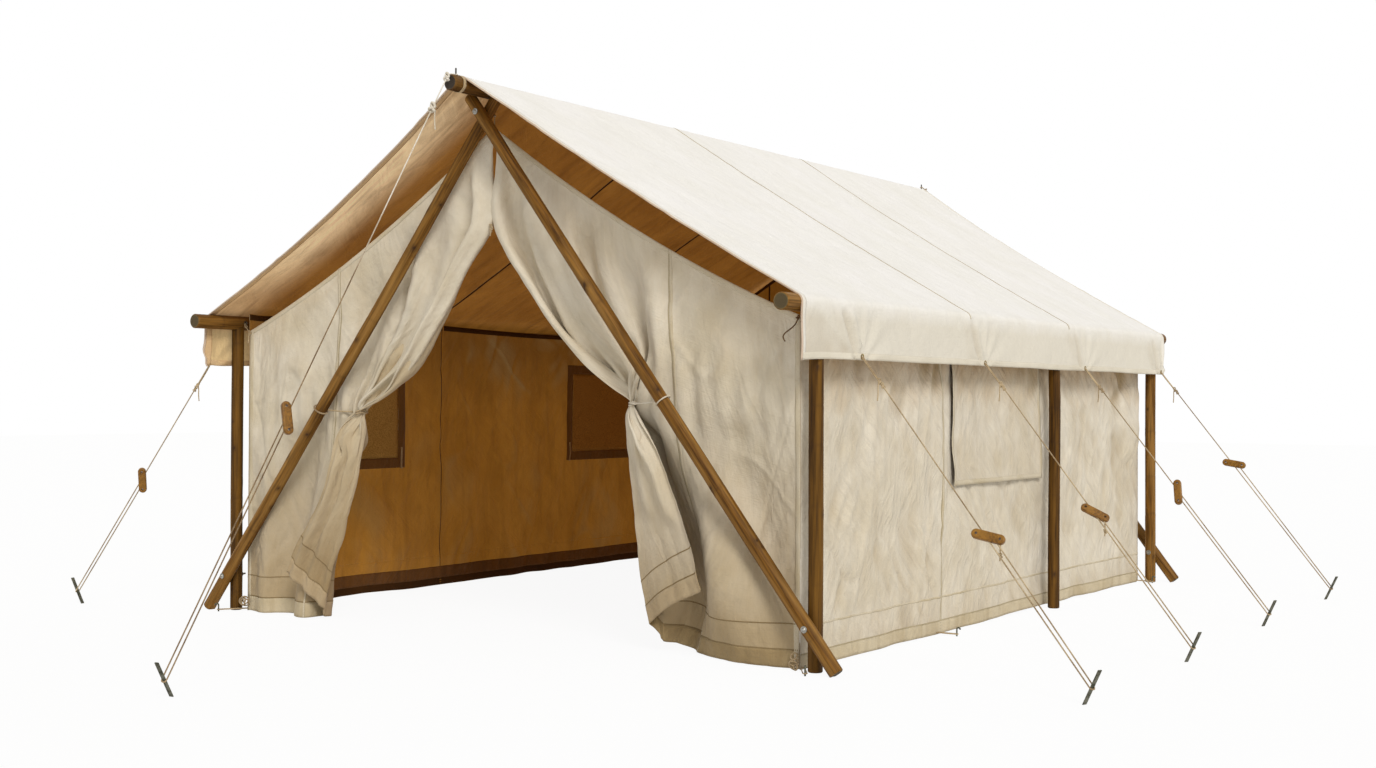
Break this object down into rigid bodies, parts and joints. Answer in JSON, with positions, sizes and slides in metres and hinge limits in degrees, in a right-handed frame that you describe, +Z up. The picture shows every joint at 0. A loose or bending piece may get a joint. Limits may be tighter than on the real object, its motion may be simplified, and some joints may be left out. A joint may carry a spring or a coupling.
{
  "type": "frame tent",
  "caption": "Canvas wall tent on a frame of round wooden poles, with crossed legs at each end, tied-back door curtains, window flaps and guy ropes with wooden sliders.",
  "frame": {"origin": "on the ground under the middle of the ridge pole", "axes": "+Z up, +X to the right seen from the door, +Y from the door to the rear"},
  "size_m": [5.9454, 8.5569, 2.7425],
  "materials": {
    "pole_wood": "oiled, weathered",
    "slider_wood": "smooth, oiled",
    "roof_canvas": "plain weave cotton",
    "wall_canvas": "plain weave cotton",
    "window_mesh": "fine mesh",
    "rope": "twisted hemp",
    "webbing": "woven strap",
    "steel": "galvanised, dull",
    "stake_steel": "galvanised, stained"
  },
  "bodies": {
    "frame": {"corner_ties": "rope", "door_curtain_left": "wall_canvas", "door_curtain_right": "wall_canvas", "door_ties": "rope", "eave_hooks": "steel", "eave_pins": "pole_wood", "eave_pole_left": "pole_wood", "eave_pole_right": "pole_wood", "front_leg_left": "pole_wood", "front_leg_right": "pole_wood", "front_wall_left": "wall_canvas", "front_wall_right": "wall_canvas", "guy_rope_front": "rope", "guy_rope_left_1": "rope", "guy_rope_left_2": "rope", "guy_rope_left_3": "rope", "guy_rope_left_4": "rope", "guy_rope_rear": "rope", "guy_rope_right_1": "rope", "guy_rope_right_2": "rope", "guy_rope_right_3": "rope", "guy_rope_right_4": "rope", "leg_bolts": "steel", "peg_loops": "rope", "rear_leg_left": "pole_wood", "rear_leg_right": "pole_wood", "ridge_pole": "pole_wood", "ridge_spikes": "steel", "ridge_tabs": "webbing", "roof_left": "roof_canvas", "roof_right": "roof_canvas", "stakes": "stake_steel", "upright_front_left": "pole_wood", "upright_front_right": "pole_wood", "upright_middle_left": "pole_wood", "upright_middle_right": "pole_wood", "upright_rear_left": "pole_wood", "upright_rear_right": "pole_wood", "valance_grommets": "steel", "valance_left": "roof_canvas", "valance_right": "roof_canvas", "wall_left": "wall_canvas", "wall_pegs": "steel", "wall_rear": "wall_canvas", "wall_right": "wall_canvas", "window_frames": "wall_canvas", "window_screens": "window_mesh"},
    "slider_body_right_1": {"slider_right_1": "slider_wood"},
    "slider_body_right_2": {"slider_right_2": "slider_wood"},
    "slider_body_right_3": {"slider_right_3": "slider_wood"},
    "slider_body_right_4": {"slider_right_4": "slider_wood"},
    "slider_body_left_1": {"slider_left_1": "slider_wood"},
    "slider_body_left_2": {"slider_left_2": "slider_wood"},
    "slider_body_left_3": {"slider_left_3": "slider_wood"},
    "slider_body_left_4": {"slider_left_4": "slider_wood"},
    "slider_body_front": {"slider_front": "slider_wood"},
    "slider_body_rear": {"slider_rear": "slider_wood"},
    "window_flap_right_body": {"window_flap_right": "wall_canvas"},
    "window_flap_left_front_body": {"window_flap_left_front": "wall_canvas"},
    "window_flap_left_rear_body": {"window_flap_left_rear": "wall_canvas"}
  },
  "joints": [
    {"name": "slide_right_1", "type": "slide", "parent": "frame", "child": "slider_body_right_1", "axis": [0.664, -0.2357, -0.7096], "range_m": [0, 0.25], "deforming": ["guy_rope_right_1"]},
    {"name": "slide_right_2", "type": "slide", "parent": "frame", "child": "slider_body_right_2", "axis": [0.6575, -0.2668, -0.7047], "range_m": [0, 0.25], "deforming": ["guy_rope_right_2"]},
    {"name": "slide_right_3", "type": "slide", "parent": "frame", "child": "slider_body_right_3", "axis": [0.6503, -0.2585, -0.7143], "range_m": [0, 0.25], "deforming": ["guy_rope_right_3"]},
    {"name": "slide_right_4", "type": "slide", "parent": "frame", "child": "slider_body_right_4", "axis": [0.6449, -0.2459, -0.7236], "range_m": [0, 0.25], "deforming": ["guy_rope_right_4"]},
    {"name": "slide_left_1", "type": "slide", "parent": "frame", "child": "slider_body_left_1", "axis": [-0.5681, -0.1202, -0.8141], "range_m": [0, 0.25], "deforming": ["guy_rope_left_1"]},
    {"name": "slide_left_2", "type": "slide", "parent": "frame", "child": "slider_body_left_2", "axis": [-0.5739, -0.0998, -0.8128], "range_m": [0, 0.25], "deforming": ["guy_rope_left_2"]},
    {"name": "slide_left_3", "type": "slide", "parent": "frame", "child": "slider_body_left_3", "axis": [-0.5787, -0.08, -0.8116], "range_m": [0, 0.25], "deforming": ["guy_rope_left_3"]},
    {"name": "slide_left_4", "type": "slide", "parent": "frame", "child": "slider_body_left_4", "axis": [-0.5752, -0.0779, -0.8143], "range_m": [0, 0.25], "deforming": ["guy_rope_left_4"]},
    {"name": "slide_front", "type": "slide", "parent": "frame", "child": "slider_body_front", "axis": [0.0172, -0.5369, -0.8434], "range_m": [0, 0.25], "deforming": ["guy_rope_front"]},
    {"name": "slide_rear", "type": "slide", "parent": "frame", "child": "slider_body_rear", "axis": [-0.015, 0.5305, -0.8476], "range_m": [0, 0.25], "deforming": ["guy_rope_rear"]},
    {"name": "window_flap_right_hinge", "type": "hinge", "parent": "frame", "child": "window_flap_right_body", "pos_m": [1.7453, -0.168, 1.412], "axis": [0, -1, 0], "range_deg": [0, 35]},
    {"name": "window_flap_left_front_hinge", "type": "hinge", "parent": "frame", "child": "window_flap_left_front_body", "pos_m": [-1.7453, -1.409, 1.412], "axis": [0, 1, 0], "range_deg": [0, 35]},
    {"name": "window_flap_left_rear_hinge", "type": "hinge", "parent": "frame", "child": "window_flap_left_rear_body", "pos_m": [-1.7453, 0.974, 1.412], "axis": [0, 1, 0], "range_deg": [0, 35]}
  ]
}
